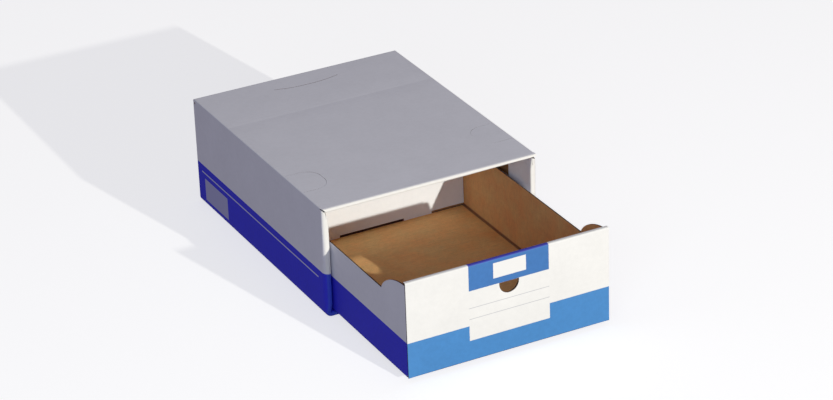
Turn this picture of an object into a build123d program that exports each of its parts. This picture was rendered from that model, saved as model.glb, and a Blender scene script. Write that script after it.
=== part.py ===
from build123d import *
import os

# A file box: a sleeve of folded corrugated board, and the drawer tray that slides in it.
# X runs across, Y from the open mouth to the back, Z up. The origin is the centre of the
# sleeve's underside. The drawer is drawn pulled out by drawer_opening. All sizes in mm.

# Sleeve
sleeve_width = 270.0
sleeve_depth = 342.0
sleeve_height = 134.0
sleeve_board = 2.7  # one thickness of the coarse board
bottom_bend = 0.6  # inner radius of the soft bottom edges, inside both plies
top_crease_radius = 1.5
nose_radius = 2.2  # roundness of the hem round the mouth
side_lining_depth = 53.0
top_lining_depth = 44.0
bottom_lining_depth = 53.0
lining_corner = 9.0
mitre_gap = 0.8  # dark slit where the top hem meets a side hem
dust_flap_length = 85.0
tuck_flap_depth = 98.0
tuck_flap_corner = 14.0
flap_play = 0.6
glue_flap_width = 32.0

# Marks in the sleeve's top
tongue_reach = 38.0  # from the sleeve's outer side to the tongue's tip
tongue_width = 47.0
tongue_tip_radius = 18.0
tongue_from_mouth = 71.5  # mouth to the tongue's middle
tongue_cut = 0.4
lock_slit_chord = 84.0
lock_slit_rise = 6.0
lock_slit_width = 0.8
lock_slit_from_back = 28.0
crease_depth = 0.3
crease_width = 1.4

# Drawer
drawer_board = 1.8  # one thickness of the fine board
drawer_side_play = 5.1  # mouth lining to drawer wall
drawer_top_play = 8.3
drawer_lift = 0.3  # running gap over the bottom lining
drawer_back_play = 1.6
drawer_opening = 178.0
drawer_wall_height = 84.2
drawer_back_height = 84.2
ear_length = 57.0
tray_crease_radius = 0.9
corner_flap_length = 60.0
corner_flap_drop = 2.0
lining_raise = 2.5  # lining edge above the floor, between its tabs
lock_tab_width = 37.0
lock_tab_spacing = 121.0
lock_tab_play = 0.2
finger_hole_width = 24.4
finger_hole_height = 14.3
finger_hole_drop = 30.4  # front's top edge to the hole's flat top

# Worked out from the sizes above
half_width = sleeve_width / 2
mouth_y = -sleeve_depth / 2
back_y = sleeve_depth / 2
hem = 2 * sleeve_board
bottom_radius = bottom_bend + hem
top_radius = min(top_crease_radius, 0.8 * sleeve_board)
hem_radius = min(nose_radius, 0.85 * sleeve_board)
drawer_width = sleeve_width - 2 * (hem + drawer_side_play)
drawer_half = drawer_width / 2
drawer_length = sleeve_depth - hem - drawer_back_play
drawer_z = hem + drawer_lift
front_height = sleeve_height - 2 * hem - drawer_lift - drawer_top_play
front_y = mouth_y - drawer_opening
rear_y = front_y + drawer_length
end_wall = 3 * drawer_board  # outer ply, corner flap and lining
tray_radius = min(tray_crease_radius, 0.8 * drawer_board)


def block(x, y, z):
    """A box from its lowest and highest value along each axis."""
    size = (x[1] - x[0], y[1] - y[0], z[1] - z[0])
    middle = (sum(x) / 2, sum(y) / 2, sum(z) / 2)
    return Pos(*middle) * Box(*size)


def mirrored(shape):
    """The same piece on the other side of the box."""
    return shape.mirror(Plane.YZ)


def along_y(section, y):
    """A section drawn in X and Z, carried from y[0] to y[1]."""
    return Pos(0, y[0], 0) * extrude(Plane.XZ * section, amount=y[0] - y[1])


def window(x, z):
    """A rectangle in X and Z, to cut or keep a stretch of a section."""
    return Pos(sum(x) / 2, sum(z) / 2) * Rectangle(x[1] - x[0], z[1] - z[0])


def edges_at(shape, axis, value, direction):
    """Straight edges that run along direction and lie at value on axis."""
    runs = shape.edges().filter_by(direction)
    return runs.filter_by_position(axis, value - 0.01, value + 0.01)


def save(shape, name):
    export_step(shape, f"parts/{name}.step")


# --- Sleeve -------------------------------------------------------------------------------


def tube(inset):
    """The sleeve's section, taken in from its outside: soft bottom edges, crisp top ones."""
    outline = window((inset - half_width, half_width - inset), (inset, sleeve_height - inset))
    outline = fillet(outline.vertices().sort_by(Axis.Y)[:2], bottom_radius - inset)
    if inset == 0:
        outline = fillet(outline.vertices().sort_by(Axis.Y)[-2:], top_radius)
    return outline


def tongue_outline(side, grow):
    """The tongue seen from above, grown by the width of the cut around it."""
    root = half_width - sleeve_board - tongue_cut + grow
    tip = half_width - tongue_reach - grow
    width = tongue_width + 2 * grow
    shape = Rectangle(root - tip, width)
    shape = fillet(shape.vertices().sort_by(Axis.X)[:2], tongue_tip_radius + grow)
    shape = Pos((root + tip) / 2, mouth_y + tongue_from_mouth) * shape
    return shape if side > 0 else shape.mirror(Plane.YZ)


def lock_slit():
    """A shallow arc near the back, bowed towards the mouth."""
    radius = (lock_slit_chord**2 / 4 + lock_slit_rise**2) / (2 * lock_slit_rise)
    ring = Circle(radius + lock_slit_width / 2) - Circle(radius - lock_slit_width / 2)
    keep = Pos(0, -radius + lock_slit_rise / 2) * Rectangle(lock_slit_chord, 2 * lock_slit_rise)
    return Pos(0, back_y - lock_slit_from_back - lock_slit_rise + radius) * (ring & keep)


def top_panel():
    zone = window((-half_width, half_width), (sleeve_height - sleeve_board, sleeve_height))
    panel = along_y(tube(0) & zone, (mouth_y + sleeve_board, back_y))
    rear = edges_at(panel, Axis.Y, back_y, Axis.X).sort_by(Axis.Z)[-1]
    panel = fillet(rear, top_radius)
    for side in (-1, 1):
        cut = extrude(tongue_outline(side, tongue_cut), amount=sleeve_height + 1)
        panel -= cut
    panel -= extrude(lock_slit(), amount=sleeve_height + 1)
    crease_y = back_y - tuck_flap_depth
    groove_y = (crease_y - crease_width / 2, crease_y + crease_width / 2)
    groove_z = (sleeve_height - crease_depth, sleeve_height + 1)
    return panel - block((-half_width, half_width), groove_y, groove_z)


def side_panel():
    """The right side, with the soft bend at its foot."""
    zone = window((half_width - bottom_radius, half_width), (0, sleeve_height - sleeve_board))
    return along_y((tube(0) - tube(sleeve_board)) & zone, (mouth_y + sleeve_board, back_y - hem))


def bottom_panel():
    reach = half_width - bottom_radius
    return block((-reach, reach), (mouth_y + sleeve_board, back_y - sleeve_board), (0, sleeve_board))


def top_lining():
    zone = window((-half_width, half_width), (sleeve_height - hem, sleeve_height))
    nose = along_y(tube(0) & zone, (mouth_y, mouth_y + sleeve_board))
    front = nose.faces().sort_by(Axis.Y)[0].edges().filter_by(Axis.X)
    nose = fillet(front, hem_radius)
    reach = half_width - sleeve_board
    ply_z = (sleeve_height - hem, sleeve_height - sleeve_board)
    ply = block((-reach, reach), (mouth_y + sleeve_board, mouth_y + top_lining_depth), ply_z)
    ply = fillet(edges_at(ply, Axis.Y, mouth_y + top_lining_depth, Axis.Z), lining_corner)
    return nose + ply


def side_lining():
    """The right side's hem, down to the bend at the foot."""
    top = sleeve_height - hem - mitre_gap
    zone = window((half_width - bottom_radius, half_width), (0, top))
    nose = along_y((tube(0) - tube(hem)) & zone, (mouth_y, mouth_y + sleeve_board))
    front = nose.faces().sort_by(Axis.Y)[0].edges()
    rims = [edge for edge in front if edge.length > bottom_radius / 2 and not on_cut(edge, top)]
    nose = fillet(rims, hem_radius)
    ply_y = (mouth_y + sleeve_board, mouth_y + side_lining_depth)
    ply = along_y((tube(sleeve_board) - tube(hem)) & zone, ply_y)
    rear_top = edges_at(ply, Axis.Y, ply_y[1], Axis.X).sort_by(Axis.Z)[-1]
    return nose + fillet(rear_top, lining_corner)


def on_cut(edge, top):
    """True for the straight edge where the hem was cut, at its top or at the bend's end."""
    middle = edge.center()
    return abs(middle.Z - top) < 0.01 or abs(middle.X - (half_width - bottom_radius)) < 0.01


def bottom_lining():
    reach = half_width - bottom_radius
    nose = block((-reach, reach), (mouth_y, mouth_y + sleeve_board), (0, hem))
    nose = fillet(edges_at(nose, Axis.Y, mouth_y, Axis.X), hem_radius)
    ply_y = (mouth_y + sleeve_board, mouth_y + bottom_lining_depth)
    return nose + block((-reach, reach), ply_y, (sleeve_board, hem))


def back_wall():
    section = tube(0) & window((-half_width, half_width), (0, sleeve_height - sleeve_board))
    wall = along_y(section, (back_y - sleeve_board, back_y))
    rim = wall.faces().sort_by(Axis.Y)[-1].edges()
    return fillet([edge for edge in rim if edge.center().Z < sleeve_height - sleeve_board - 0.01], top_radius)


def tuck_flap():
    """From the top of the back wall, forwards under the top panel."""
    reach = half_width - sleeve_board - flap_play
    front = back_y - tuck_flap_depth
    flap_z = (sleeve_height - hem, sleeve_height - sleeve_board)
    flap = block((-reach, reach), (front, back_y - sleeve_board), flap_z)
    return fillet(edges_at(flap, Axis.Y, front, Axis.Z), tuck_flap_corner)


def dust_flap():
    """From the right side's back edge, inside the back wall."""
    reach = half_width - dust_flap_length
    section = tube(0) & window((reach, half_width), (sleeve_board, sleeve_height - hem))
    flap = along_y(section, (back_y - hem, back_y - sleeve_board))
    return fillet(edges_at(flap, Axis.X, reach, Axis.Y), tuck_flap_corner)


def glue_flap():
    """From the right side's foot, glued flat on the bottom panel."""
    outer = half_width - bottom_radius
    flap_y = (mouth_y + bottom_lining_depth + flap_play, back_y - hem - flap_play)
    flap = block((outer - glue_flap_width, outer), flap_y, (sleeve_board, hem))
    return fillet(edges_at(flap, Axis.X, outer - glue_flap_width, Axis.Z), lining_corner)


def tongue(side):
    shape = extrude(tongue_outline(side, 0), amount=sleeve_board)
    return Pos(0, 0, sleeve_height - sleeve_board) * shape


# --- Drawer -------------------------------------------------------------------------------


def front_hole():
    """The finger hole: straight along its top, round below, through every ply of the front."""
    radius = finger_hole_width / 2
    top = drawer_z + front_height - finger_hole_drop
    centre = top - finger_hole_height + radius
    outline = Pos(0, centre) * Circle(radius) & window((-radius, radius), (centre - radius, top))
    return along_y(outline, (front_y - 1, front_y + end_wall + 1))


def tray_end(outer_y, inwards, height):
    """One rolled-over end of the tray: outer ply, top strip, lining and two corner flaps.
    outer_y is its outside face, and inwards is +1 or -1 along Y."""

    def span(start, stop):
        ends = sorted((outer_y + inwards * start, outer_y + inwards * stop))
        return (ends[0], ends[1])

    top = drawer_z + height
    rim = top - drawer_board
    floor_top = drawer_z + drawer_board
    outer = block((-drawer_half, drawer_half), span(0, drawer_board), (drawer_z, rim))
    foot = edges_at(outer, Axis.Y, outer_y, Axis.X).sort_by(Axis.Z)[:1]
    outer = fillet(foot + edges_at(outer, Axis.Y, outer_y, Axis.Z), tray_radius)

    strip = block((-drawer_half, drawer_half), span(0, end_wall), (rim, top))
    crest = edges_at(strip, Axis.Z, top, Axis.X)
    strip = fillet(crest, tray_radius)

    inner_half = drawer_half - drawer_board - lock_tab_play
    ply = span(2 * drawer_board, end_wall)
    lining = block((-inner_half, inner_half), ply, (floor_top + lining_raise, rim))
    for centre in (-lock_tab_spacing / 2, lock_tab_spacing / 2):
        sides = (centre - lock_tab_width / 2, centre + lock_tab_width / 2)
        lining += block(sides, ply, (drawer_z + lock_tab_play, floor_top + lining_raise))

    flap_z = (floor_top, rim - corner_flap_drop)
    flap_x = (drawer_half - corner_flap_length, drawer_half)
    flap = block(flap_x, span(drawer_board, 2 * drawer_board), flap_z)
    flap = fillet(edges_at(flap, Axis.X, flap_x[0], Axis.Y), 4 * drawer_board)
    return outer, strip, lining, flap


def tray_floor():
    inner_half = drawer_half - drawer_board
    floor_z = (drawer_z, drawer_z + drawer_board)
    floor = block((-inner_half, inner_half), (front_y + drawer_board, rear_y - drawer_board), floor_z)
    reach = lock_tab_width / 2 + lock_tab_play
    for start in (front_y + 2 * drawer_board, rear_y - end_wall):
        slot_y = (start - lock_tab_play, start + drawer_board + lock_tab_play)
        for centre in (-lock_tab_spacing / 2, lock_tab_spacing / 2):
            floor -= block((centre - reach, centre + reach), slot_y, floor_z)
    return floor


def tray_wall():
    """The right wall: level along the tray, with a rounded ear up to the front's top."""
    rise = front_height - drawer_wall_height
    radius = (ear_length**2 + rise**2) / (2 * rise)
    top = drawer_z + drawer_wall_height
    crest = drawer_z + front_height
    wall_x = (drawer_half - drawer_board, drawer_half)
    wall_y = (front_y + 2 * drawer_board, rear_y - 2 * drawer_board)
    wall = block(wall_x, wall_y, (drawer_z, top))
    disc = Rot(0, 90, 0) * Cylinder(radius, drawer_board)
    disc = Pos(sum(wall_x) / 2, front_y, crest - radius) * disc
    wall += disc & block(wall_x, (wall_y[0], front_y + ear_length), (top, crest))
    foot = edges_at(wall, Axis.Z, drawer_z, Axis.Y).sort_by(Axis.X)[-1]
    wall = fillet(foot, tray_radius)
    wall -= block(wall_x, (front_y, front_y + end_wall), (crest - drawer_board, crest + 1))
    back_top = drawer_z + drawer_back_height
    wall -= block(wall_x, (rear_y - end_wall, rear_y), (back_top - drawer_board, back_top + 1))
    return wall


os.makedirs("parts", exist_ok=True)

save(top_panel(), "sleeve_top_panel")
save(side_panel(), "sleeve_right_side")
save(mirrored(side_panel()), "sleeve_left_side")
save(bottom_panel(), "sleeve_bottom_panel")
save(top_lining(), "mouth_lining_top")
save(side_lining(), "mouth_lining_right")
save(mirrored(side_lining()), "mouth_lining_left")
save(bottom_lining(), "mouth_lining_bottom")
save(back_wall(), "sleeve_back_wall")
save(tuck_flap(), "back_tuck_flap")
save(dust_flap(), "back_dust_flap_right")
save(mirrored(dust_flap()), "back_dust_flap_left")
save(glue_flap(), "sleeve_glue_flap")
save(tongue(1), "link_tongue_right")
save(tongue(-1), "link_tongue_left")

save(tray_floor(), "drawer_floor")
save(tray_wall(), "drawer_right_wall")
save(mirrored(tray_wall()), "drawer_left_wall")
hole = front_hole()
outer, strip, lining, flap = tray_end(front_y, 1, front_height)
save(outer - hole, "drawer_front_panel")
save(strip, "drawer_front_top_strip")
save(lining - hole, "drawer_front_lining")
save(flap, "front_corner_flap_right")
save(mirrored(flap), "front_corner_flap_left")
outer, strip, lining, flap = tray_end(rear_y, -1, drawer_back_height)
save(outer, "drawer_back_panel")
save(strip, "drawer_back_top_strip")
save(lining, "drawer_back_lining")
save(flap, "back_corner_flap_right")
save(mirrored(flap), "back_corner_flap_left")

print(f"drawer {drawer_width:.1f} x {drawer_length:.1f} x {front_height:.1f} mm")
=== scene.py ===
import bpy
import math
from mathutils import Matrix, Vector


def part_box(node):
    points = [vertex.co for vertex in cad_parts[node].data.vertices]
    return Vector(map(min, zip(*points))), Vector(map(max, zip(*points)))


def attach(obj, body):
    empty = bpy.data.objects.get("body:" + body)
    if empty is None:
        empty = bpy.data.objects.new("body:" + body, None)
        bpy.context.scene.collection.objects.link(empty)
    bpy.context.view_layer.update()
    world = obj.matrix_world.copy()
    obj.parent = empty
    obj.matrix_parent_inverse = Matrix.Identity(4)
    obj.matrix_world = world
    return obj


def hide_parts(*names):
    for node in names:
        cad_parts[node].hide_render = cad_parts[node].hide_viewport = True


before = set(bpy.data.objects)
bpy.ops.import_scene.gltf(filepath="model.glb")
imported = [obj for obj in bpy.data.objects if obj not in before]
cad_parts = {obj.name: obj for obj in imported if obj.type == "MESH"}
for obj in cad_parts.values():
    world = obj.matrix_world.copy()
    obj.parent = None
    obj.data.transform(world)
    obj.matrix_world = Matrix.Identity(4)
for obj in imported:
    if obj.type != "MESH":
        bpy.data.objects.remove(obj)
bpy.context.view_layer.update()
print("frame loaded:", len(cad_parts), "nodes")

# all lengths in metres; the drawer's front and the sleeve's mouth both face -Y
axes = {"X": Vector((1, 0, 0)), "Y": Vector((0, 1, 0)), "Z": Vector((0, 0, 1))}


# camera, worked out from the straight edges in the photograph
cameraSet = {
    "place": (-1.3528, -2.8058, 1.5867),
    "forward": (0.4047, 0.7983, -0.4460),
    "right": (0.8837, -0.4668, -0.0338),
    "lens": 128.38,
    "sensor": 36.0,
}


def placeCamera():
    bpy.ops.object.camera_add(location=cameraSet["place"])
    camera = bpy.context.object
    camera.name = "photoCamera"
    forward = Vector(cameraSet["forward"]).normalized()
    right = Vector(cameraSet["right"])
    right = (right - forward * right.dot(forward)).normalized()
    up = right.cross(forward)
    camera.rotation_euler = Matrix((right, up, -forward)).transposed().to_euler()
    camera.data.lens = cameraSet["lens"]
    camera.data.sensor_width = cameraSet["sensor"]
    bpy.context.scene.camera = camera


placeCamera()
print("camera placed")


lightSet = {
    "keyFrom": (1.0, -5.46, 1.62),    # low, far off and small, so its shadows are crisp
    "keySize": 0.07,
    "keyPower": 290.0,
    "keyColour": (1.0, 0.98, 0.89),
    "skyFrom": (-0.5, 0.5, 3.0),
    "skySize": 2.6,
    "skyPower": 2.6,
    "skyColour": (0.64, 0.81, 1.0),
    "fillFrom": (-1.7, -2.25, 1.12),
    "fillSize": 1.4,
    "fillPower": 14.9,
    "fillColour": (0.68, 0.83, 1.0),
    "aim": (0.0, -0.15, 0.05),
    "world": (0.86, 0.785, 1.0),
    "worldStrength": 0.175,
    "gamma": 1.2,         # lifts the middle tones, as the photograph's own curve does
    "floorSize": 12.0,
    "floorTone": 0.66,
    "floorRough": 0.9,
    "floorGlow": 0.62,
}


def addArea(name):
    place = Vector(lightSet[name + "From"])
    bpy.ops.object.light_add(type="AREA", location=place)
    lamp = bpy.context.object
    lamp.name = name + "Light"
    lamp.rotation_euler = (Vector(lightSet["aim"]) - place).to_track_quat("-Z", "Y").to_euler()
    lamp.data.shape = "DISK"
    lamp.data.size = lightSet[name + "Size"]
    lamp.data.energy = lightSet[name + "Power"]
    lamp.data.color = lightSet[name + "Colour"]


def lightStudio():
    for name in ("key", "sky", "fill"):
        addArea(name)
    world = bpy.data.worlds.new("studioWorld")
    world.use_nodes = True
    sky = world.node_tree.nodes["Background"]
    sky.inputs["Color"].default_value = (*lightSet["world"], 1.0)
    sky.inputs["Strength"].default_value = lightSet["worldStrength"]
    bpy.context.scene.world = world
    bpy.context.scene.view_settings.view_transform = "Standard"
    bpy.context.scene.view_settings.gamma = lightSet["gamma"]


def layFloor():
    bpy.ops.mesh.primitive_plane_add(size=lightSet["floorSize"], location=(0, 0, 0))
    floor = bpy.context.object
    floor.name = "studioFloor"
    paint = bpy.data.materials.new("palePaint")
    paint.use_nodes = True
    shader = paint.node_tree.nodes["Principled BSDF"]
    tone = lightSet["floorTone"]
    shader.inputs["Base Color"].default_value = (tone, tone, tone, 1)
    shader.inputs["Roughness"].default_value = lightSet["floorRough"]
    shader.inputs["Emission Color"].default_value = (1, 1, 1, 1)
    shader.inputs["Emission Strength"].default_value = lightSet["floorGlow"]
    floor.data.materials.append(paint)
    floor.visible_diffuse = False   # its glow stays out of the light on the box
    floor.visible_glossy = False


lightStudio()
layFloor()
print("stage and light ready")


def asColour(value):
    # a plain colour gets its alpha, and a wire stays as it is
    return (*value, 1.0) if isinstance(value, tuple) else value


class Wire:
    # one output in a shader tree, so that sums on it read as plain maths
    def __init__(self, tree, output=None):
        self.tree = tree
        self.output = output

    def node(self, kind, settings, inputs, out=0):
        made = self.tree.nodes.new(kind)
        for key, value in settings.items():
            setattr(made, key, value)
        for key, value in inputs.items():
            if isinstance(value, Wire):
                self.tree.links.new(value.output, made.inputs[key])
            else:
                made.inputs[key].default_value = value
        return Wire(self.tree, made.outputs[out])

    def maths(self, operation, first, second=0.0):
        return self.node("ShaderNodeMath", {"operation": operation}, {0: first, 1: second})

    def __add__(self, other):
        return self.maths("ADD", self, other)

    def __radd__(self, other):
        return self.maths("ADD", other, self)

    def __sub__(self, other):
        return self.maths("SUBTRACT", self, other)

    def __rsub__(self, other):
        return self.maths("SUBTRACT", other, self)

    def __mul__(self, other):
        return self.maths("MULTIPLY", self, other)

    def __rmul__(self, other):
        return self.maths("MULTIPLY", other, self)

    def __abs__(self):
        return self.maths("ABSOLUTE", self)

    def above(self, edge, blur=0.00015):
        # 0 below the edge and 1 above it
        ends = {"Value": self, "From Min": edge - blur, "From Max": edge + blur}
        return self.node("ShaderNodeMapRange", {"interpolation_type": "SMOOTHSTEP"}, ends)

    def within(self, low, high, blur=0.00015):
        return self.above(low, blur) * (1 - self.above(high, blur))

    def waves(self, pitch):
        return self.maths("SINE", self * (2 * math.pi / pitch))

    def noise(self, scale, detail=2.0, rough=0.5):
        # self is a place; gives about -0.5 to 0.5
        inputs = {"Vector": self, "Scale": scale, "Detail": detail, "Roughness": rough}
        return self.node("ShaderNodeTexNoise", {}, inputs) - 0.5

    def colour(self, low, high):
        # self is a share: 0 gives the low colour, 1 the high one
        inputs = {0: self, 6: asColour(low), 7: asColour(high)}
        return self.node("ShaderNodeMix", {"data_type": "RGBA"}, inputs, 2)

    def times(self, colour):
        # self is a grey share that darkens or lightens a colour
        grey = self.node("ShaderNodeCombineColor", {}, {0: self, 1: self, 2: self})
        inputs = {0: 1.0, 6: asColour(colour), 7: grey}
        return self.node("ShaderNodeMix", {"data_type": "RGBA", "blend_type": "MULTIPLY"}, inputs, 2)


paperSet = {
    "white": (0.80, 0.79, 0.765),
    # a brighter, cooler copy of the white liner for the drawer's inner linings: painted light
    "litLiningWhite": (0.85, 0.85, 0.86),
    "paintedShadeWhite": (0.75, 0.74, 0.795),   # a darker, cooler copy of the white liner, for the sleeve and the tray's sides that turn from the key light: painted shade
    "topShadeWhite": (0.69, 0.69, 0.745),      # the same liner on the sleeve's top, darker still where the key light only grazes: painted shade
    "foldLitWhite": (0.82, 0.80, 0.76),      # a lighter, warmer copy of the same liner for the mouth's fold, which faces the key light: painted light
    # the band's ink in a deeper copy for the faces turned from the key light: painted shade; frontInk is
    # the same ink as lit
    "shadedInk": (0.016, 0.017, 0.66),
    # a lighter copy of that ink where the fold faces the front: painted light
    "foldLitInk": (0.020, 0.046, 0.56),
    "frontInk": (0.036, 0.185, 0.495),
    "patchInk": (0.026, 0.128, 0.400),
    # a deeper copy of the front's ink for the patch on the strip's up-facing top: painted shade
    "stripShadeInk": (0.030, 0.036, 0.38),
    "kraft": (0.60, 0.305, 0.106),
    "litFloorKraft": (0.79, 0.455, 0.160),   # a brighter, yellower copy of the kraft for the floor, which faces up into more light: painted light
    "shadedKraft": (0.34, 0.165, 0.062),   # kraft darkened to about half, inside the sleeve and between the drawer's plies, where it is seen only in deep shade: painted shade
    # the fluted core's kraft, darkened past its own colour for the shade in its hollows: partly real
    # colour, partly painted shade
    "coreShadeKraft": (0.065, 0.034, 0.020),
    "rule": (0.30, 0.31, 0.36),
    "label": (0.80, 0.79, 0.77),
    "sideLabel": (0.40, 0.40, 0.60),
    "sideLine": (0.60, 0.60, 0.72),
    "shine": 0.35,
    "bump": 0.35,
}

finishSet = {
    # roughness, pitch of the flutes below and how deep they show
    "sleevePaper": (0.72, 0.0064, 0.000035),
    "frontPaper": (0.66, 0.0034, 0.000012),
    "traySidePaper": (0.70, 0.0034, 0.000018),
    "trayEndPaper": (0.70, 0.0034, 0.000018),
    "whitePaper": (0.74, 0.0034, 0.000012),
    "trayFlapPaper": (0.78, 0.0034, 0.000018),
    "dustFlapPaper": (0.78, 0.0034, 0.000018),
    "kraftLiner": (0.85, 0.0034, 0.00002),
    "litFloorKraftLiner": (0.85, 0.0034, 0.00002),
    "shadedKraftLiner": (0.85, 0.0064, 0.00004),
    "shadedFlutedCore": (0.85, 0.0034, 0.0),
}

grainSet = {
    # scale, detail, roughness and strength of each layer of noise
    "paper": ((28, 2, 0.5, 0.09), (190, 3, 0.6, 0.10), (900, 3, 0.6, 0.05)),   # faint clouds and fibres
    "ink": ((24, 2, 0.5, 0.14), (210, 3, 0.6, 0.26), (1300, 3, 0.7, 0.16)),    # it lies a little unevenly
    "kraft": ((16, 2, 0.5, 0.2), (230, 3, 0.65, 0.35), (1900, 2, 0.5, 0.3)),
    "relief": ((1500, 3, 0.5, 0.00003), (60, 2, 0.5, 0.0002)),                 # in metres
}


def startPaper(name):
    material = bpy.data.materials.new(name)
    material.use_nodes = True
    tree = material.node_tree
    shader = tree.nodes["Principled BSDF"]
    shader.inputs["Roughness"].default_value = finishSet[name][0]
    shader.inputs["Specular IOR Level"].default_value = paperSet["shine"]
    place = Wire(tree).node("ShaderNodeTexCoord", {}, {}, "Object")
    spot = place.node("ShaderNodeSeparateXYZ", {}, {0: place})
    x, y, z = (Wire(tree, output) for output in spot.output.node.outputs)
    return material, place, x, y, z


def addGrain(start, place, kind):
    # layers of noise on a plain tone or a height
    total = start
    for scale, detail, rough, strength in grainSet[kind]:
        total = total + place.noise(scale, detail, rough) * strength
    return total


def endPaper(material, colour, place, along):
    # the liner sinks a little between the flutes, and its fibres show
    pitch, wash = finishSet[material.name][1:]
    height = addGrain(along.waves(pitch) * wash, place, "relief")
    inputs = {"Strength": paperSet["bump"], "Distance": 1.0, "Height": height}
    bump = height.node("ShaderNodeBump", {}, inputs)
    tree = material.node_tree
    tree.links.new(colour.output, tree.nodes["Principled BSDF"].inputs["Base Color"])
    tree.links.new(bump.output, tree.nodes["Principled BSDF"].inputs["Normal"])
    return material


def ragged(place, reach):
    # the ink's edge isn't quite straight
    return place.noise(700, 2) * reach


sleevePrintSet = {
    "bandTop": 0.0540,
    "lineUp": (0.0434, 0.0449),
    "lineAlong": (-0.1560, 0.1590),
    "labelUp": (0.0090, 0.0370),
    "labelAlong": (0.0880, 0.1520),
    "share": 0.9,             # how much the line and the label cover
    "side": 0.1330,           # past this the paper is on a side
    "top": 0.1325,            # and above this it is on the top
    "shadeTopBlur": 0.0003,
    "litFoldBack": -0.1724,
    "litFoldBlur": 0.0009,
    "flapFold": 0.1343,
    "rag": 0.0005,
}


def sleevePaper():
    s = sleevePrintSet
    material, place, x, y, z = startPaper("sleevePaper")
    rag = ragged(place, s["rag"])
    zr, yr = z + rag, y + rag
    band = 1 - zr.above(s["bandTop"])
    onSide = abs(x).above(s["side"]) * s["share"]
    line = zr.within(*s["lineUp"]) * yr.within(*s["lineAlong"])
    label = zr.within(*s["labelUp"]) * yr.within(*s["labelAlong"])
    # the mouth's fold takes lighter, warmer copies of the liner and ink, the sides and top darker ones:
    # painted light and shade
    fold = 1 - y.above(s["litFoldBack"], s["litFoldBlur"])
    # the top darker and bluer than the sides: painted shade
    liner = z.above(s["top"], s["shadeTopBlur"]).colour(paperSet["paintedShadeWhite"], paperSet["topShadeWhite"])
    paper = addGrain(1, place, "paper").times(fold.colour(liner, paperSet["foldLitWhite"]))
    ink = addGrain(1, place, "ink").times(fold.colour(paperSet["shadedInk"], paperSet["foldLitInk"]))
    paper = band.colour(paper, ink)
    paper = (line * onSide).colour(paper, paperSet["sideLine"])
    paper = (label * onSide).colour(paper, paperSet["sideLabel"])
    return endPaper(material, paper, place, y)


trayPrintSet = {
    "bandTop": 0.0481,
    "notchHalf": 0.0495,
    "notchLow": 0.0300,
    "patchHalf": 0.0492,
    "patchLow": 0.0899,
    "patchTop": 0.1196,       # above this the patch lies on the strip's top
    "shadeTopBlur": 0.0005,
    "labelAcross": (-0.0190, 0.0210),
    "labelUp": (0.0973, 0.1154),
    "rules": (0.0691, 0.0559),
    "ruleWidth": 0.0007,
    "ruleBlur": 0.0001,
    "ruleShare": 0.7,
    "flapFold": 0.1239,
    "rag": 0.0005,
    "frontRag": 0.0004,
}


def frontPaper():
    s = trayPrintSet
    material, place, x, y, z = startPaper("frontPaper")
    rag = ragged(place, s["frontRag"])
    zr, xr = z + rag, x + rag
    inNotch = xr.within(-s["notchHalf"], s["notchHalf"])
    band = (1 - zr.above(s["bandTop"])) * (1 - inNotch * zr.above(s["notchLow"]))
    patch = xr.within(-s["patchHalf"], s["patchHalf"]) * zr.above(s["patchLow"])
    # the patch's part on the strip's top is drawn darker: painted shade
    shadedStripTop = patch * z.above(s["patchTop"], s["shadeTopBlur"])
    label = xr.within(*s["labelAcross"]) * zr.within(*s["labelUp"])
    ink = addGrain(1, place, "ink")
    paper = addGrain(1, place, "paper").times(paperSet["white"])
    paper = band.colour(paper, ink.times(paperSet["frontInk"]))
    paper = patch.colour(paper, ink.times(paperSet["patchInk"]))
    paper = shadedStripTop.colour(paper, ink.times(paperSet["stripShadeInk"]))
    paper = label.colour(paper, paperSet["label"])
    half = s["ruleWidth"] / 2
    for middle in s["rules"]:
        rule = z.within(middle - half, middle + half, s["ruleBlur"]) * inNotch
        paper = (rule * s["ruleShare"]).colour(paper, paperSet["rule"])
    return endPaper(material, paper, place, z)


def trayPaper(name, along):
    # the tray's outside apart from its front: white with the blue band
    material, place, x, y, z = startPaper(name)
    band = 1 - (z + ragged(place, trayPrintSet["rag"])).above(trayPrintSet["bandTop"])
    # the liner and ink in their darker copies: painted shade
    paper = addGrain(1, place, "paper").times(paperSet["paintedShadeWhite"])
    ink = addGrain(1, place, "ink").times(paperSet["shadedInk"])
    return endPaper(material, band.colour(paper, ink), place, y if along == "Y" else z)


def whitePaper():
    # the unprinted white liner that shows inside the rolled ends
    material, place, x, y, z = startPaper("whitePaper")
    return endPaper(material, addGrain(1, place, "paper").times(paperSet["litLiningWhite"]), place, z)


def flapPaper(name, printSet):
    # a folded flap shows kraft inside the box, and the printed liner outside its fold
    material, place, x, y, z = startPaper(name)
    # inside the box the flap takes the darkened kraft, outside the darker copies of liner and ink: painted
    # shade
    fold = abs(x).above(printSet["flapFold"])
    band = 1 - z.above(printSet["bandTop"])
    tone = addGrain(1, place, "paper")
    ink = addGrain(1, place, "ink").times(paperSet["shadedInk"])
    outer = band.colour(tone.times(paperSet["paintedShadeWhite"]), ink)
    return endPaper(material, fold.colour(tone.times(paperSet["shadedKraft"]), outer), place, x)


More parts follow.
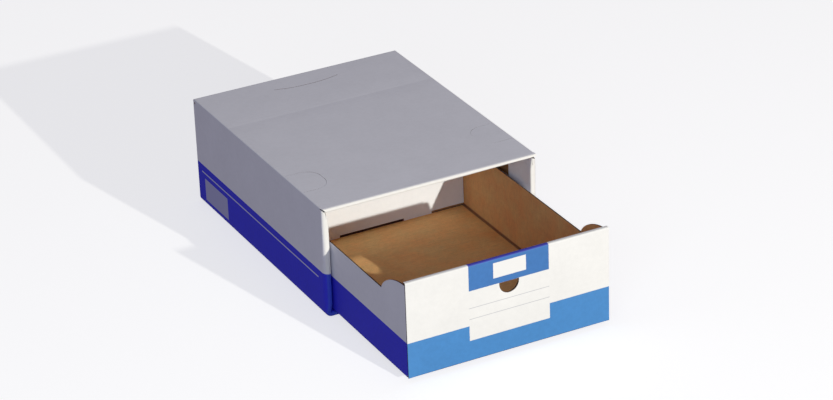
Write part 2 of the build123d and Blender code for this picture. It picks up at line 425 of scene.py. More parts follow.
kraftSet = {
    "drawnOut": (0.25, 2.2, 0.6),         # the fibres run along the board
    "streaks": (150, 4, 0.7),
    "streakShare": 0.45,
    "clouds": (34, 3, 0.6),
    "cloudBlur": 0.22,
    "cloudTint": (1.04, 0.84, 0.78),      # a little redder
    "flecks": (1500, 1),
    "fleckEdge": (0.15, 0.05),
    "fleckShare": 0.5,
    "fleckTint": (0.45, 0.45, 0.45),
    "creaseShadeAcross": (0.1202, 0.1235),    # painted shade: a dark line in the crease at the foot of the drawer's walls, where floor and wall meet
    "creaseShadeUp": (0.0045, 0.0096),
    "creaseShadeBlur": 0.0009,
    "creaseShadeShare": 0.85,
    "creaseShadeTint": (0.24, 0.16, 0.2),
}


def tinted(colour, tint):
    return tuple(c * t for c, t in zip(colour, tint))


def kraftPaper(name, colour):
    k = kraftSet
    material, place, x, y, z = startPaper(name)
    drawn = place.node("ShaderNodeMapping", {}, {"Vector": place, "Scale": k["drawnOut"]})
    tone = addGrain(1 + drawn.noise(*k["streaks"]) * k["streakShare"], place, "kraft")
    clouds = place.noise(*k["clouds"]).above(0.0, k["cloudBlur"])
    flecks = place.noise(*k["flecks"]).above(*k["fleckEdge"]) * k["fleckShare"]
    # painted shade along the crease at the foot of the walls
    creaseShade = abs(x).within(*k["creaseShadeAcross"], k["creaseShadeBlur"])
    creaseShade = creaseShade * z.within(*k["creaseShadeUp"], k["creaseShadeBlur"]) * k["creaseShadeShare"]
    paper = tone.times(clouds.colour(colour, tinted(colour, k["cloudTint"])))
    paper = flecks.colour(paper, tinted(colour, k["fleckTint"]))
    paper = creaseShade.colour(paper, tinted(colour, k["creaseShadeTint"]))
    return endPaper(material, paper, place, y)


papers = {
    "sleeve": sleevePaper(),
    "front": frontPaper(),
    "traySide": trayPaper("traySidePaper", "Y"),
    "trayEnd": trayPaper("trayEndPaper", "Z"),
    "white": whitePaper(),
    "kraft": kraftPaper("kraftLiner", paperSet["kraft"]),
    "litFloorKraft": kraftPaper("litFloorKraftLiner", paperSet["litFloorKraft"]),
    "shadedSleeveKraft": kraftPaper("shadedKraftLiner", paperSet["shadedKraft"]),
    "trayFlap": flapPaper("trayFlapPaper", trayPrintSet),
    "dustFlap": flapPaper("dustFlapPaper", sleevePrintSet),
    # the darkened core: partly its real colour, partly painted shade
    "shadedCore": kraftPaper("shadedFlutedCore", paperSet["coreShadeKraft"]),
}
print("papers mixed:", len(papers))


handSet = {
    "same": 0.00003,       # edges nearer than this to a place are on it
    "close": 0.0001,       # vertices nearer than this to a surface are on it
    "loopStep": 0.03,
    "smoothAngle": 32.0,
    "past": 0.002,         # how far a cutter reaches out of the board
}


def makeActive(piece):
    bpy.ops.object.select_all(action="DESELECT")
    piece.select_set(True)
    bpy.context.view_layer.objects.active = piece


def addBlock(name, low, high):
    # a piece of board between two corners
    low, high = Vector(low), Vector(high)
    bpy.ops.object.select_all(action="DESELECT")
    bpy.ops.mesh.primitive_cube_add(size=1, location=(low + high) / 2)
    piece = bpy.context.object
    piece.name = name
    piece.scale = high - low
    bpy.ops.object.transform_apply(location=True, rotation=True, scale=True)
    return piece


def cutLoops(piece, axis, places):
    makeActive(piece)
    bpy.ops.object.mode_set(mode="EDIT")
    for place in places:
        bpy.ops.mesh.select_all(action="SELECT")
        bpy.ops.mesh.bisect(plane_co=axes[axis] * place, plane_no=axes[axis])
    bpy.ops.object.mode_set(mode="OBJECT")


def spread(low, high, step=handSet["loopStep"]):
    # even places between two ends, without the ends
    count = max(1, round((high - low) / step))
    return [low + (high - low) * n / count for n in range(1, count)]


def select(piece, kind, test):
    # selects what passes the test and stays in edit mode
    makeActive(piece)
    bpy.ops.object.mode_set(mode="EDIT")
    bpy.ops.mesh.select_mode(type=kind)
    bpy.ops.mesh.select_all(action="DESELECT")
    bpy.ops.object.mode_set(mode="OBJECT")
    mesh = piece.data
    if kind == "FACE":
        for face in mesh.polygons:
            face.select = test(face.center, face.normal)
    elif kind == "EDGE":
        for edge in mesh.edges:
            first, last = (mesh.vertices[n].co for n in edge.vertices)
            edge.select = test(first, last)
    else:
        for vertex in mesh.vertices:
            vertex.select = test(vertex.co)
    bpy.ops.object.mode_set(mode="EDIT")


def near(value, other):
    return abs(value - other) < handSet["same"]


def edgeAt(**place):
    # a test for edges that run along the axis that place leaves out
    def test(first, last):
        ends = (first, last)
        return all(near(getattr(end, axis), value) for end in ends for axis, value in place.items())
    return test


def roundEdges(piece, radius, segments, *tests):
    select(piece, "EDGE", lambda first, last: any(test(first, last) for test in tests))
    bpy.ops.mesh.bevel(offset=radius, offset_type="OFFSET", segments=segments, profile=0.5, affect="EDGES")
    bpy.ops.object.mode_set(mode="OBJECT")


def extrudeFaces(piece, move, test):
    select(piece, "FACE", test)
    bpy.ops.mesh.extrude_region_move(TRANSFORM_OT_translate={"value": move})
    bpy.ops.object.mode_set(mode="OBJECT")


def spinFaces(piece, centre, axis, angle, steps, test):
    # with no window a spin turns left-handed round its axis
    select(piece, "FACE", test)
    bpy.ops.mesh.spin(steps=steps, angle=angle, center=centre, axis=-Vector(axis))
    bpy.ops.mesh.select_all(action="SELECT")
    bpy.ops.mesh.normals_make_consistent(inside=False)
    bpy.ops.object.mode_set(mode="OBJECT")


def shift(piece, rule):
    # moves vertices by a rule on their place, like sculpting by hand
    for vertex in piece.data.vertices:
        vertex.co += Vector(rule(vertex.co))


def cover(piece, name, test):
    # gives the faces that pass the test one of the papers
    material = papers[name]
    if material.name not in piece.data.materials:
        piece.data.materials.append(material)
    select(piece, "FACE", test)
    piece.active_material_index = piece.data.materials.find(material.name)
    bpy.ops.object.material_slot_assign()
    bpy.ops.object.mode_set(mode="OBJECT")


def everywhere(centre, normal):
    return True


def carve(piece, tool):
    makeActive(piece)
    bpy.ops.object.modifier_add(type="BOOLEAN")
    cut = piece.modifiers[-1]
    cut.operation = "DIFFERENCE"
    cut.solver = "EXACT"
    cut.object = tool
    bpy.ops.object.modifier_apply(modifier=cut.name)
    bpy.data.objects.remove(tool)


def turnedOver(piece, name):
    # a copy for the other side of the box
    makeActive(piece)
    bpy.ops.object.duplicate()
    copy = bpy.context.object
    copy.name = name
    copy.scale.x = -1
    bpy.ops.object.transform_apply(location=True, rotation=True, scale=True)
    bpy.ops.object.mode_set(mode="EDIT")
    bpy.ops.mesh.select_all(action="SELECT")
    bpy.ops.mesh.normals_make_consistent(inside=False)
    bpy.ops.object.mode_set(mode="OBJECT")
    return copy


def finishPiece(piece, body, slot, *nodes):
    makeActive(piece)
    bpy.ops.object.shade_smooth_by_angle(angle=math.radians(handSet["smoothAngle"]))
    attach(piece, body)
    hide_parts(*nodes)


fluteSet = {
    # the fine board of the drawer, which is the one that shows cut edges
    "board": 0.0018,
    "liner": 0.00026,
    "pitch": 0.0034,
    "base": 0.0021,
    "narrow": 0.39,        # width of a hollow's top as a share of its base
    "corner": 0.2,
}


def fluteTool(row, through, run, start, end, middle):
    # the hollows between the liners, as a cutter. They repeat along row from start to end, lie across
    # the thickness along through at middle, and reach along run from run[1] to run[2]
    s = fluteSet
    height = s["board"] - 2 * s["liner"]
    runAxis, runLow, runHigh = run
    size = axes[row] * s["base"] + axes[through] * height + axes[runAxis] * (runHigh - runLow)
    tool = addBlock("fluteTool", -size / 2, size / 2)
    narrow = Vector((1, 1, 1)) - axes[row] * (1 - s["narrow"])
    select(tool, "VERT", lambda place: place.dot(axes[through]) < 0)
    bpy.ops.transform.resize(value=narrow)
    bpy.ops.object.mode_set(mode="OBJECT")
    select(tool, "EDGE", lambda a, b: abs((b - a).dot(axes[runAxis])) > 0.9 * (runHigh - runLow))
    bpy.ops.mesh.bevel(offset=height * s["corner"], segments=2, affect="EDGES")
    bpy.ops.mesh.select_all(action="SELECT")
    bpy.ops.mesh.duplicate()
    bpy.ops.transform.rotate(value=math.pi, orient_axis=runAxis, center_override=(0, 0, 0))
    bpy.ops.transform.translate(value=axes[row] * s["pitch"] / 2)
    bpy.ops.object.mode_set(mode="OBJECT")
    bpy.ops.object.modifier_add(type="ARRAY")
    array = tool.modifiers[-1]
    array.use_relative_offset = False
    array.use_constant_offset = True
    array.constant_offset_displace = axes[row] * s["pitch"]
    array.count = int((end - start) / s["pitch"])
    bpy.ops.object.modifier_apply(modifier=array.name)
    tool.location = axes[row] * (start + s["pitch"] / 2) + axes[through] * middle
    tool.location += axes[runAxis] * (runLow + runHigh) / 2
    return tool


sleeveSet = {
    "half": 0.135,
    "mouth": -0.171,
    "back": 0.171,
    "top": 0.134,
    "board": 0.0027,
    "liner": 0.00035,
    "foot": 0.006,        # outer radius of the soft bend at the foot
    "innerRound": 0.0016,
    "bulge": 0.0028,      # how far the folded edge stands in front of the mouth
    # inset and reach of the fold's rounding, and how far its inner ply swells, at three heights
    "rollHigh": (0.0046, 0.0032, 0.0022),
    "rollLow": (0.0056, 0.0090, 0.0024),
    "rollFoot": (0.0016, 0.0045, 0.0),
    # where the rounding begins to change on the way down, and over how much
    "rollFade": (0.105, 0.07),
    "footFade": (0.016, 0.012),
    "swellTop": (0.004, 0.014),    # the same for the swelling, from the top downwards
    "swellDepth": 0.025,
    "noseCuts": (0.0001, 0.00035, 0.0008, 0.0014, 0.0021),
    "rollCuts": (0.0033, 0.0041, 0.0052, 0.0068),
    "plyCuts": (0.006, 0.011, 0.017, 0.025),
    "sideLoops": (0.018, 0.03, 0.044, 0.06, 0.08, 0.105),
    "hemLoops": (0.010, 0.014),
    "endLoops": (0.115, 0.1215),
    "sideFrom": -0.15,    # the sides' even loops start here
    "bottomLoop": -0.12,
    "hemEnd": 0.1272,     # the side hems' upper ends are above this
    "hemBack": -0.16,     # and their plies' cut edges are behind this
    "corner": 0.009,
    "gap": 0.0015,        # between the top's fold and the left side's, in front
    "pressed": 0.0020,    # the top's fold is pressed flatter by this much at its right end
    "pressFade": (0.02, 0.11),     # where that begins, and over how much
    "pressSlope": 0.42,
    "topRound": 0.0013,
    "lipRound": 0.0024,
    "backRound": 0.0012,
}


def ease(share):
    share = min(1.0, max(0.0, share))
    return share * share * (3 - 2 * share)


def fade(start, over, value):
    return ease((start - value) / over)


def rollAt(z):
    s = sleeveSet
    low = fade(*s["rollFade"], z)
    foot = fade(*s["footFade"], z)
    rolls = zip(s["rollHigh"], s["rollLow"], s["rollFoot"])
    return [(high + (mid - high) * low) * (1 - foot) + end * foot for high, mid, end in rolls]


def bulgeOut(place):
    # the board is never folded dead flat, so the fold stands a little in front of the mouth
    s = sleeveSet
    back = place.y - s["mouth"]
    return (0, -s["bulge"] * max(0.0, 1 - back / s["board"]), 0)


def rollIn(place):
    # rounds the sleeve's outside towards the mouth: most of all low on the sides
    s = sleeveSet
    axisX = s["half"] - s["foot"]
    outward = Vector((math.copysign(1, place.x), 0, 0))
    depth = abs(abs(place.x) - s["half"])
    if place.z < s["foot"]:
        arm = Vector((place.x - math.copysign(axisX, place.x), 0, place.z - s["foot"]))
        if abs(place.x) <= axisX:
            arm = Vector((0, 0, place.z - s["foot"]))
        if arm.length < 1e-6:
            return (0, 0, 0)
        outward = arm.normalized()
        depth = abs(arm.length - s["foot"])
    inset, reach = rollAt(place.z)[:2]
    back = place.y - s["mouth"] + s["bulge"]
    if depth > handSet["close"] or back > reach:
        return (0, 0, 0)
    move = inset * (1 - math.sqrt(max(0.0, 1 - (1 - back / reach) ** 2)))
    return -outward * move


def swellAt(place):
    # none at the corner with the top, and less and less into the mouth
    s = sleeveSet
    clear, over = s["swellTop"]
    below = fade(s["top"] - clear, over, place.z)
    return rollAt(place.z)[2] * below * (1 - ease((place.y - s["mouth"]) / s["swellDepth"]))


def evenFold(place):
    # keeps the middle of the left hem's front between its outer and inner rounding
    s = sleeveSet
    close = handSet["close"]
    middle = abs(place.x + s["half"] - s["board"]) < close
    if not middle or place.y > s["mouth"] + close or place.z < s["foot"]:
        return (0, 0, 0)
    outer = -s["half"] + rollAt(place.z)[0]
    inner = -s["half"] + 2 * s["board"] + swellAt(place) - s["innerRound"]
    return ((outer + inner) / 2 - place.x, 0, 0)


def swellIn(place):
    # the left hem's inner ply stands off towards the drawer
    s = sleeveSet
    if abs(place.x + s["half"] - 2 * s["board"]) > handSet["close"] or place.z < s["foot"]:
        return (0, 0, 0)
    return (swellAt(place), 0, 0)


def roundInner(rule):
    # rounds the hem's inner front edge; rule gives the depth inside the inner face and its direction
    def move(place):
        radius = sleeveSet["innerRound"]
        back = place.y - sleeveSet["mouth"] + sleeveSet["bulge"]
        depth, direction = rule(place)
        if abs(depth) > handSet["close"] or back > radius:
            return (0, 0, 0)
        return direction * radius * (1 - math.sqrt(max(0.0, 1 - (1 - back / radius) ** 2)))
    return move


def sideInner(place):
    # for the left hem: its inner face, round the bend as well
    s = sleeveSet
    if place.z >= s["foot"]:
        return place.x + s["half"] - 2 * s["board"] - swellAt(place), Vector((-1, 0, 0))
    arm = Vector((place.x + s["half"] - s["foot"], 0, place.z - s["foot"]))
    if arm.length < 1e-6:
        return 1.0, Vector((0, 0, 0))
    return arm.length - (s["foot"] - 2 * s["board"]), arm.normalized()


def outside(centre, normal):
    return normal.x < -0.35 or normal.z < -0.35


def buildSides():
    s = sleeveSet
    low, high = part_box("sleeve_left_side")
    side = addBlock("sleeveLeftSide", (low.x, low.y, s["foot"]), (-s["half"] + s["board"], high.y, high.z))
    cutLoops(side, "Y", [s["mouth"] + d for d in s["rollCuts"]] + spread(s["sideFrom"], high.y))
    cutLoops(side, "Z", s["sideLoops"])
    bend = (-s["half"] + s["foot"], 0, s["foot"])
    spinFaces(side, bend, (0, -1, 0), math.pi / 2, 6, lambda c, n: n.z < -0.9)
    shift(side, rollIn)
    cover(side, "shadedSleeveKraft", everywhere)
    cover(side, "sleeve", outside)
    cover(side, "shadedCore", lambda c, n: n.y < -0.9)
    other = turnedOver(side, "sleeveRightSide")
    finishPiece(side, "sleeve", "white_board", "sleeve_left_side")
    finishPiece(other, "sleeve", "white_board", "sleeve_right_side")


def atTop(place):
    # on the upper end of a side hem's folded edge
    s = sleeveSet
    return place.z > s["hemEnd"] and place.y < s["mouth"] + s["board"] + handSet["close"]


def buildSideHems():
    s = sleeveSet
    low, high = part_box("mouth_lining_left")
    ply = (-s["half"] + s["board"], -s["half"] + 2 * s["board"])
    hem = addBlock("mouthHemLeft", (ply[0], low.y, s["foot"]), (ply[1], high.y, high.z))
    cutLoops(hem, "Y", [s["mouth"] + d for d in (*s["noseCuts"], s["board"], *s["plyCuts"])])
    cutLoops(hem, "Z", s["hemLoops"] + s["sideLoops"])
    nose = s["mouth"] + s["board"]
    extrudeFaces(hem, (-s["board"], 0, 0), lambda c, n: n.x < -0.9 and c.y < nose)
    roundEdges(hem, s["corner"], 8, edgeAt(y=high.y, z=high.z))
    cutLoops(hem, "Z", s["endLoops"])
    bend = (-s["half"] + s["foot"], 0, s["foot"])
    spinFaces(hem, bend, (0, -1, 0), math.pi / 2, 6, lambda c, n: n.z < -0.9)
    for rule in (bulgeOut, rollIn, swellIn, roundInner(sideInner), evenFold):
        shift(hem, rule)
    cover(hem, "sleeve", everywhere)
    cover(hem, "shadedCore", lambda c, n: n.y > 0.4 and c.y > s["hemBack"])
    cover(hem, "shadedCore", lambda c, n: n.z > 0.5 and c.z > high.z - 0.0005)
    other = turnedOver(hem, "mouthHemRight")
    inner = s["half"] - 2 * s["board"]

    def slant(place):
        # the left end is cut on the slant, to meet the top's hem
        return (0, 0, max(0.0, -inner - place.x) if atTop(place) else 0)

    def fill(place):
        # the right end fills what the pressed top hem leaves
        rise = s["pressed"] - s["pressSlope"] * max(0.0, place.x - inner)
        return (0, 0, rise if atTop(place) else 0)

    shift(hem, slant)
    shift(other, fill)
    finishPiece(hem, "sleeve", "white_board", "mouth_lining_left")
    finishPiece(other, "sleeve", "white_board", "mouth_lining_right")


def buildBottom():
    s = sleeveSet
    low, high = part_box("sleeve_bottom_panel")
    bottom = addBlock("sleeveBottom", low, high)
    cutLoops(bottom, "Y", [s["mouth"] + d for d in s["rollCuts"]] + [s["bottomLoop"]])
    shift(bottom, rollIn)
    cover(bottom, "shadedSleeveKraft", everywhere)
    cover(bottom, "sleeve", lambda c, n: n.z < -0.35)
    finishPiece(bottom, "sleeve", "white_board", "sleeve_bottom_panel")
    low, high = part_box("mouth_lining_bottom")
    hem = addBlock("mouthHemBottom", (low.x, low.y, s["board"]), high)
    cutLoops(hem, "Y", [s["mouth"] + d for d in s["noseCuts"]] + [s["mouth"] + s["board"]])
    nose = s["mouth"] + s["board"]
    extrudeFaces(hem, (0, 0, -s["board"]), lambda c, n: n.z < -0.9 and c.y < nose)
    shift(hem, bulgeOut)
    shift(hem, rollIn)
    shift(hem, roundInner(lambda place: (place.z - 2 * s["board"], Vector((0, 0, -1)))))
    cover(hem, "sleeve", everywhere)
    finishPiece(hem, "sleeve", "white_board", "mouth_lining_bottom")


markSet = {
    "tongueTip": 0.097,       # from the middle of the sleeve
    "tongueRoot": 0.1323,
    "tongueY": -0.0995,
    "tongueHalf": 0.0235,
    "tongueRound": 0.018,
    "tongueStep": 0.006,
    "droop": 0.00035,         # at the tip, which is droopOver from the root
    "droopOver": 0.035,
    "cut": 0.00022,
    "slitRadius": 0.150,
    "slitHalfAngle": 0.2838,
    "slitMiddleY": 0.287,     # centre of the slit's arc
    "slitWidth": 0.0007,
    "slitStart": 0.0002,
    "creaseY": 0.073,
    "creaseDepth": 0.00010,
    "creaseHalf": 0.0018,
    "creaseCuts": (-0.0024, -0.0010, 0.0, 0.0010, 0.0024),
    "creaseEnds": (0.070, 0.076),
    "rim": 0.0022,            # loops just inside the rounded rims keep the panel's shading flat
    "sag": 0.0004,
    "sagY": -0.03,
    "sagHalf": 0.2,
}


def tongueBlock(name, grow, low, high):
    m = markSet
    corner = (m["tongueTip"] - grow, m["tongueY"] - m["tongueHalf"] - grow, low)
    block = addBlock(name, corner, (m["tongueRoot"], m["tongueY"] + m["tongueHalf"] + grow, high))
    tip = m["tongueTip"] - grow
    ends = [edgeAt(x=tip, y=m["tongueY"] + side * (m["tongueHalf"] + grow)) for side in (-1, 1)]
    roundEdges(block, m["tongueRound"] + grow, 10, *ends)
    return block


def slitTool(low, high):
    # a thin bar spun round the centre of the arc
    m = markSet
    radius, half = m["slitRadius"], m["slitWidth"] / 2
    bar = addBlock("slitTool", (-m["slitStart"], m["slitMiddleY"] - radius - half, low),
                   (0.0, m["slitMiddleY"] - radius + half, high))
    for side, normal in ((1, 1), (-1, -1)):
        spinFaces(bar, (0, m["slitMiddleY"], 0), (0, 0, side), m["slitHalfAngle"], 12,
                  lambda c, n, normal=normal: n.x * normal > 0.9 and abs(c.x) < 0.001)
    return bar


def buildTop():
    s = sleeveSet
    m = markSet
    low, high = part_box("sleeve_top_panel")
    top = addBlock("sleeveTop", low, high)
    crease = [m["creaseY"] + d for d in m["creaseCuts"]]
    ahead, behind = m["creaseEnds"]
    cutLoops(top, "Y", crease + spread(low.y, ahead) + spread(behind, high.y) + [high.y - m["rim"]])
    cutLoops(top, "X", spread(low.x, high.x) + [low.x + m["rim"], high.x - m["rim"]])
    sides = [edgeAt(x=side * s["half"], z=s["top"]) for side in (-1, 1)]
    roundEdges(top, s["topRound"], 3, *sides, edgeAt(y=s["back"], z=s["top"]))
    ends = (low.z - handSet["past"], high.z + handSet["past"])
    for side in (-1, 1):
        tool = tongueBlock("tongueTool", m["cut"], *ends)
        if side < 0:
            tool = mirroredTool(tool)
        carve(top, tool)
    carve(top, slitTool(*ends))

    def settle(place):
        # the crease is pressed in, and the panel sags a little between its edges
        sink = 0.0
        away = abs(place.y - m["creaseY"])
        if place.z > s["top"] - 0.0005 and away < m["creaseHalf"]:
            sink = m["creaseDepth"] * (1 - away / m["creaseHalf"])
        across = math.cos(place.x / s["half"] * math.pi / 2)
        length = math.cos((place.y - m["sagY"]) / m["sagHalf"] * math.pi / 2)
        return (0, 0, -sink - m["sag"] * max(0.0, across) * max(0.0, length))

    shift(top, settle)
    cover(top, "shadedCore", everywhere)
    cover(top, "shadedSleeveKraft", lambda c, n: n.z < -0.3)
    cover(top, "sleeve", lambda c, n: n.z > 0.3 or abs(c.x) > 0.1347)
    finishPiece(top, "sleeve", "white_board", "sleeve_top_panel")


def mirroredTool(tool):
    other = turnedOver(tool, "mirroredTool")
    bpy.data.objects.remove(tool)
    return other


def buildTongues():
    m = markSet
    low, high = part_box("link_tongue_right")
    tongue = tongueBlock("linkTongueRight", 0.0, low.z, high.z)
    cutLoops(tongue, "X", spread(m["tongueTip"], m["tongueRoot"], m["tongueStep"]))
    shift(tongue, lambda place: (0, 0, -m["droop"] * ((m["tongueRoot"] - place.x) / m["droopOver"]) ** 2))
    cover(tongue, "shadedCore", everywhere)
    cover(tongue, "sleeve", lambda c, n: n.z > 0.5)
    cover(tongue, "shadedSleeveKraft", lambda c, n: n.z < -0.5)
    other = turnedOver(tongue, "linkTongueLeft")
    finishPiece(tongue, "right_tongue", "white_board", "link_tongue_right")
    finishPiece(other, "left_tongue", "white_board", "link_tongue_left")


def buildTopHem():
    s = sleeveSet
    low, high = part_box("mouth_lining_top")
    inner = high.z - s["board"]
    reach = s["half"] - s["board"]
    hem = addBlock("mouthHemTop", (-reach, low.y, low.z), (reach, high.y, inner))
    cutLoops(hem, "Y", [s["mouth"] + s["board"]])
    cutLoops(hem, "X", spread(low.x, high.x))
    nose = s["mouth"] + s["board"]
    extrudeFaces(hem, (0, 0, s["board"]), lambda c, n: n.z > 0.9 and c.y < nose)
    for side in (-1, 1):
        extrudeFaces(hem, (side * s["board"], 0, 0), lambda c, n: n.x * side > 0.9 and c.y < nose)
    roundEdges(hem, s["lipRound"], 5, edgeAt(y=low.y, z=low.z))
    roundEdges(hem, s["topRound"], 4, edgeAt(y=low.y, z=high.z))
    corners = [edgeAt(x=side * reach, y=high.y) for side in (-1, 1)]
    roundEdges(hem, s["corner"], 8, *corners)
    shift(hem, bulgeOut)

    def mitre(place):
        # the left end is cut on the slant, to meet the side's hem, and gapes only in front
        if place.x > -s["half"] + 0.0002:
            return (0, 0, 0)
        gap = s["gap"] if place.y < s["mouth"] else 0.0
        return (min(s["board"] * 2, s["top"] - place.z) + gap, 0, 0)

    def press(place):
        # the lower edge rises towards the right end
        if place.y > nose + handSet["close"] or place.z > inner:
            return (0, 0, 0)
        start, over = s["pressFade"]
        return (0, 0, s["pressed"] * ease((place.x - start) / over) * (inner - place.z) / s["board"])

    shift(hem, mitre)
    shift(hem, press)
    cover(hem, "sleeve", everywhere)
    cover(hem, "shadedCore", lambda c, n: n.y > 0.4 and c.y > s["hemBack"])
    finishPiece(hem, "sleeve", "white_board", "mouth_lining_top")


def buildBack():
    s = sleeveSet
    low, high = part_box("sleeve_back_wall")
    back = addBlock("sleeveBack", low, high)
    liner = s["liner"]
    cutLoops(back, "Y", [low.y + liner, high.y - liner])
    roundEdges(back, s["foot"], 8, *[edgeAt(x=side * s["half"], z=low.z) for side in (-1, 1)])
    roundEdges(back, s["backRound"], 3, edgeAt(y=s["back"], z=low.z), edgeAt(y=s["back"], z=high.z))
    cover(back, "shadedCore", everywhere)
    cover(back, "shadedSleeveKraft", lambda c, n: n.y < -0.9 or c.y < low.y + liner)
    cover(back, "sleeve", lambda c, n: n.y > 0.3 or n.z < -0.4 or abs(n.x) > 0.4)
    finishPiece(back, "sleeve", "white_board", "sleeve_back_wall")


buildSides()
buildSideHems()
buildBottom()
buildTop()
buildTongues()
buildTopHem()
buildBack()
print("sleeve modelled")


traySet = {
    "half": 0.1245,
    "board": 0.0018,
    "floor": 0.0057,
    "frontY": -0.349,
    "rearY": -0.014,
    "frontTop": 0.1203,
    "wallTop": 0.0899,
    "earLength": 0.057,
    "earDrop": 0.0038,    # the ear's front end stays this far under the front's top
    "earStep": 0.003,
    "earStart": 0.0004,
    "earLeast": 0.00005,
    "notchCuts": (0.0004, 0.001, 0.002, 0.003),
    "crease": 0.0009,
    "floorRound": 0.0007,
    "uprightRound": 0.00045,
    "stripRounds": (0.0016, 0.0011),    # outside and inside
    "stripPast": 0.01,
    # how far the flutes' cutters reach past the edges that they open, and stay off the folds
    "wallFlutesUp": (0.006, 0.004),
    "wallFlutesOff": (0.0012, 0.001),
    "endFlutesReach": (0.003, 0.005),
    "endFlutesOff": (0.0012, 0.0005),
    "slotClear": 0.0002,
    "slotWidth": 0.0022,
    "tabs": (-0.0605, 0.0605),
    "tabHalf": 0.0185,
    "tabFoot": 0.0059,
    "raised": 0.0104,     # the lining's foot between its tabs
    "liningClear": 0.0002,
}


def buildFloor():
    s = traySet
    low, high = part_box("drawer_floor")
    floor = addBlock("trayFloor", low, high)
    rear = s["rearY"] - 3 * s["board"]
    cutLoops(floor, "Y", spread(low.y, rear) + [rear])
    cutLoops(floor, "X", spread(low.x, high.x))
    rims = [edgeAt(x=low.x, z=high.z), edgeAt(x=high.x, z=high.z)]
    rims += [edgeAt(x=low.x, z=low.z), edgeAt(x=high.x, z=low.z)]
    roundEdges(floor, s["floorRound"], 2, *rims)
    reach = s["tabHalf"] + s["slotClear"]
    for y in (s["frontY"] + 2 * s["board"] - s["slotClear"], rear - s["slotClear"]):
        for x in s["tabs"]:
            slotLow = (x - reach, y, low.z - handSet["past"])
            slotHigh = (x + reach, y + s["slotWidth"], high.z + handSet["past"])
            carve(floor, addBlock("slotTool", slotLow, slotHigh))
    cover(floor, "litFloorKraft", everywhere)
    cover(floor, "shadedCore", lambda c, n: c.y > rear)   # painted shade: the floor under the rolled end takes the dark core paper, for the shadow in the gap under the lining
    cover(floor, "traySide", lambda c, n: n.z < -0.3)
    finishPiece(floor, "drawer", "kraft_board", "drawer_floor")


def buildWalls():
    s = traySet
    low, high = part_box("drawer_left_wall")
    liner = fluteSet["liner"]
    wall = addBlock("trayLeftWall", low, (high.x, high.y, s["wallTop"]))
    cutLoops(wall, "X", [low.x + liner, high.x - liner])
    rise = s["frontTop"] - s["earDrop"] - s["wallTop"]
    radius = (s["earLength"] ** 2 + rise ** 2) / (2 * rise)
    notch = s["frontY"] + s["earLength"]
    fine = [notch - d for d in s["notchCuts"]]
    cutLoops(wall, "Y", [notch] + fine + spread(low.y, fine[-1], s["earStep"]) + spread(notch, high.y))
    extrudeFaces(wall, (0, 0, s["earStart"]), lambda c, n: n.z > 0.9 and c.y < notch)

    def ear(place):
        # a curve half way between a circle and an ellipse
        if place.z < s["wallTop"] + s["earStart"] / 2:
            return (0, 0, 0)
        ahead = place.y - s["frontY"]
        circle = rise - radius + math.sqrt(radius ** 2 - ahead ** 2)
        ellipse = rise * math.sqrt(max(0.0, 1 - (ahead / s["earLength"]) ** 2))
        crest = s["wallTop"] + (circle + ellipse) / 2
        return (0, 0, max(crest, s["wallTop"] + s["earLeast"]) - place.z)

    shift(wall, ear)
    shelf = s["frontY"] + 3 * s["board"]
    rear = s["rearY"] - 3 * s["board"]
    past = s["stripPast"]
    rooms = ((s["frontY"] - past, shelf, s["frontTop"]), (rear, s["rearY"] + past, s["wallTop"]))
    for start, end, strip in rooms:   # for the strips over the rolled ends
        roomLow = (low.x - past, start, strip - s["board"])
        carve(wall, addBlock("stripTool", roomLow, (high.x + past, end, strip + past)))
    roundEdges(wall, s["crease"], 3, edgeAt(x=low.x, z=low.z))
    middle = (low.x + high.x) / 2
    below, above = s["wallFlutesUp"]
    ahead, behind = s["wallFlutesOff"]
    run = ("Z", s["wallTop"] - below, s["frontTop"] + above)
    carve(wall, fluteTool("Y", "X", run, shelf + ahead, rear - behind, middle))
    cover(wall, "shadedCore", everywhere)
    cover(wall, "kraft", lambda c, n: n.x > 0.9 and c.x > high.x - 0.0001)
    cover(wall, "traySide", lambda c, n: c.x < low.x + liner and (n.x < -0.3 or n.z < -0.3 or n.z > 0.3))
    other = turnedOver(wall, "trayRightWall")
    finishPiece(wall, "drawer", "drawer_board", "drawer_left_wall")
    finishPiece(other, "drawer", "drawer_board", "drawer_right_wall")


holeSet = {
    "half": 0.0122,
    "top": 0.0899,
    "centre": 0.0878,
    "wider": 0.0022,                # in the lining
    "past": 0.003,
    "flutes": (0.0760, 0.0895),     # the rows that its edge cuts
    "flutesPast": 0.004,
}


def holeTool(low, high, grow=0.0):
    # round below, straight along its top
    h = holeSet
    bpy.ops.object.select_all(action="DESELECT")
    middle = (0, (low + high) / 2, h["centre"])
    depth = high - low + 2 * h["past"]
    bpy.ops.mesh.primitive_cylinder_add(vertices=48, radius=h["half"] + grow, depth=depth, location=middle,
                                        rotation=(math.pi / 2, 0, 0))
    tool = bpy.context.object
    bpy.ops.object.transform_apply(location=True, rotation=True, scale=True)
    bpy.ops.object.mode_set(mode="EDIT")
    bpy.ops.mesh.select_all(action="SELECT")
    top = (0, 0, h["top"] + grow)
    bpy.ops.mesh.bisect(plane_co=top, plane_no=(0, 0, 1), clear_outer=True, use_fill=True)
    bpy.ops.object.mode_set(mode="OBJECT")
    return tool


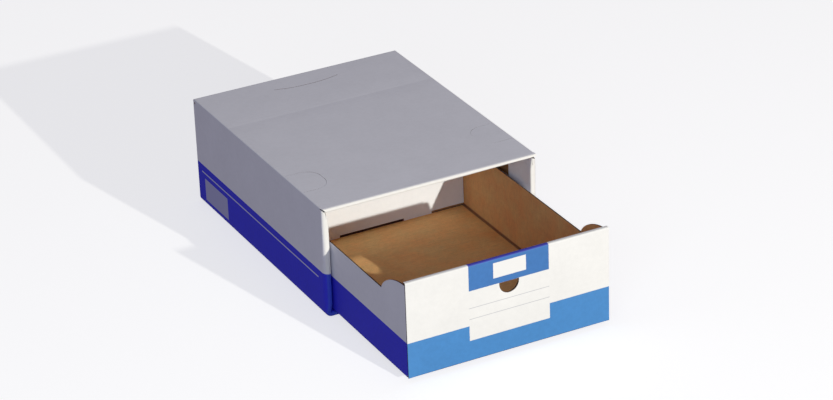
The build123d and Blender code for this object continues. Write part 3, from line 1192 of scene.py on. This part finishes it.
def buildEnd(which, outerY, inwards, top, outerPaper, slot):
    # one rolled-over end: outer ply, strip along the top and lining with two tabs
    s = traySet
    liner = fluteSet["liner"]
    board = s["board"]

    def depth(first, last):
        ends = sorted((outerY + inwards * first, outerY + inwards * last))
        return ends[0], ends[1]

    def isOuter(place):
        return (place.y - outerY) * inwards < liner + 0.00002

    y0, y1 = depth(0, board)
    outer = addBlock(f"tray{which}Panel", (-s["half"], y0, s["floor"]), (s["half"], y1, top - board))
    cutLoops(outer, "Y", [y0 + liner, y1 - liner])
    cutLoops(outer, "X", spread(-s["half"], s["half"]))
    uprights = [edgeAt(x=side * s["half"], y=outerY) for side in (-1, 1)]
    roundEdges(outer, s["uprightRound"], 3, *uprights)
    roundEdges(outer, s["crease"], 3, edgeAt(y=outerY, z=s["floor"]))
    out, into = s["endFlutesReach"]
    foot, head = s["endFlutesOff"]
    for side in (-1, 1):
        run = ("X", *sorted((side * (s["half"] + out), side * (s["half"] - into))))
        carve(outer, fluteTool("Z", "Y", run, s["floor"] + foot, top - board - head, (y0 + y1) / 2))
    if which == "Front":
        reach = holeSet["half"] + holeSet["flutesPast"]
        carve(outer, fluteTool("Z", "Y", ("X", -reach, reach), *holeSet["flutes"], (y0 + y1) / 2))
        carve(outer, holeTool(y0, y1))
    cover(outer, "shadedCore", everywhere)
    cover(outer, outerPaper, lambda c, n: isOuter(c) and (abs(n.y) > 0.2 or n.z < -0.2 or abs(c.x) > 0.12))
    finishPiece(outer, "drawer", slot, f"drawer_{which.lower()}_panel")

    y0, y1 = depth(0, 3 * board)
    strip = addBlock(f"tray{which}TopStrip", (-s["half"], y0, top - board), (s["half"], y1, top))
    cutLoops(strip, "X", spread(-s["half"], s["half"]))
    outerRound, innerRound = s["stripRounds"]
    roundEdges(strip, outerRound, 5, edgeAt(y=outerY, z=top))
    roundEdges(strip, innerRound, 4, edgeAt(y=outerY + inwards * 3 * board, z=top))
    cover(strip, "shadedCore", everywhere)
    cover(strip, outerPaper, lambda c, n: abs(n.x) < 0.5 and n.z > -0.5)
    finishPiece(strip, "drawer", slot, f"drawer_{which.lower()}_top_strip")

    y0, y1 = depth(2 * board, 3 * board)
    reach = s["half"] - board - s["liningClear"]
    lining = addBlock(f"tray{which}Lining", (-reach, y0, s["raised"]), (reach, y1, top - board))
    tabEnds = [x + side * s["tabHalf"] for x in s["tabs"] for side in (-1, 1)]
    cutLoops(lining, "X", tabEnds)
    extrudeFaces(lining, (0, 0, s["tabFoot"] - s["raised"]),
                 lambda c, n: n.z < -0.9 and any(abs(c.x - x) < s["tabHalf"] for x in s["tabs"]))
    if which == "Front":
        carve(lining, holeTool(y0, y1, holeSet["wider"]))
    cover(lining, "shadedCore", everywhere)
    cover(lining, "white", lambda c, n: n.y * inwards > 0.5)
    cover(lining, "kraft", lambda c, n: n.y * inwards < -0.5)
    finishPiece(lining, "drawer", slot, f"drawer_{which.lower()}_lining")


buildFloor()
buildWalls()
buildEnd("Front", traySet["frontY"], 1, traySet["frontTop"], "front", "drawer_front")
buildEnd("Back", traySet["rearY"], -1, traySet["wallTop"], "trayEnd", "drawer_board")
print("tray modelled")


hiddenSet = {
    "shadedSleeveKraft": ("back_tuck_flap", "sleeve_glue_flap"),
    "dustFlap": ("back_dust_flap_right", "back_dust_flap_left"),
    "trayFlap": ("front_corner_flap_right", "front_corner_flap_left", "back_corner_flap_right",
                 "back_corner_flap_left"),
}


def dressHidden():
    # the folded flaps that the frame already has in the right shape
    for name, nodes in hiddenSet.items():
        for node in nodes:
            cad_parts[node].data.materials.clear()
            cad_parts[node].data.materials.append(papers[name])


dressHidden()
print("flaps dressed")
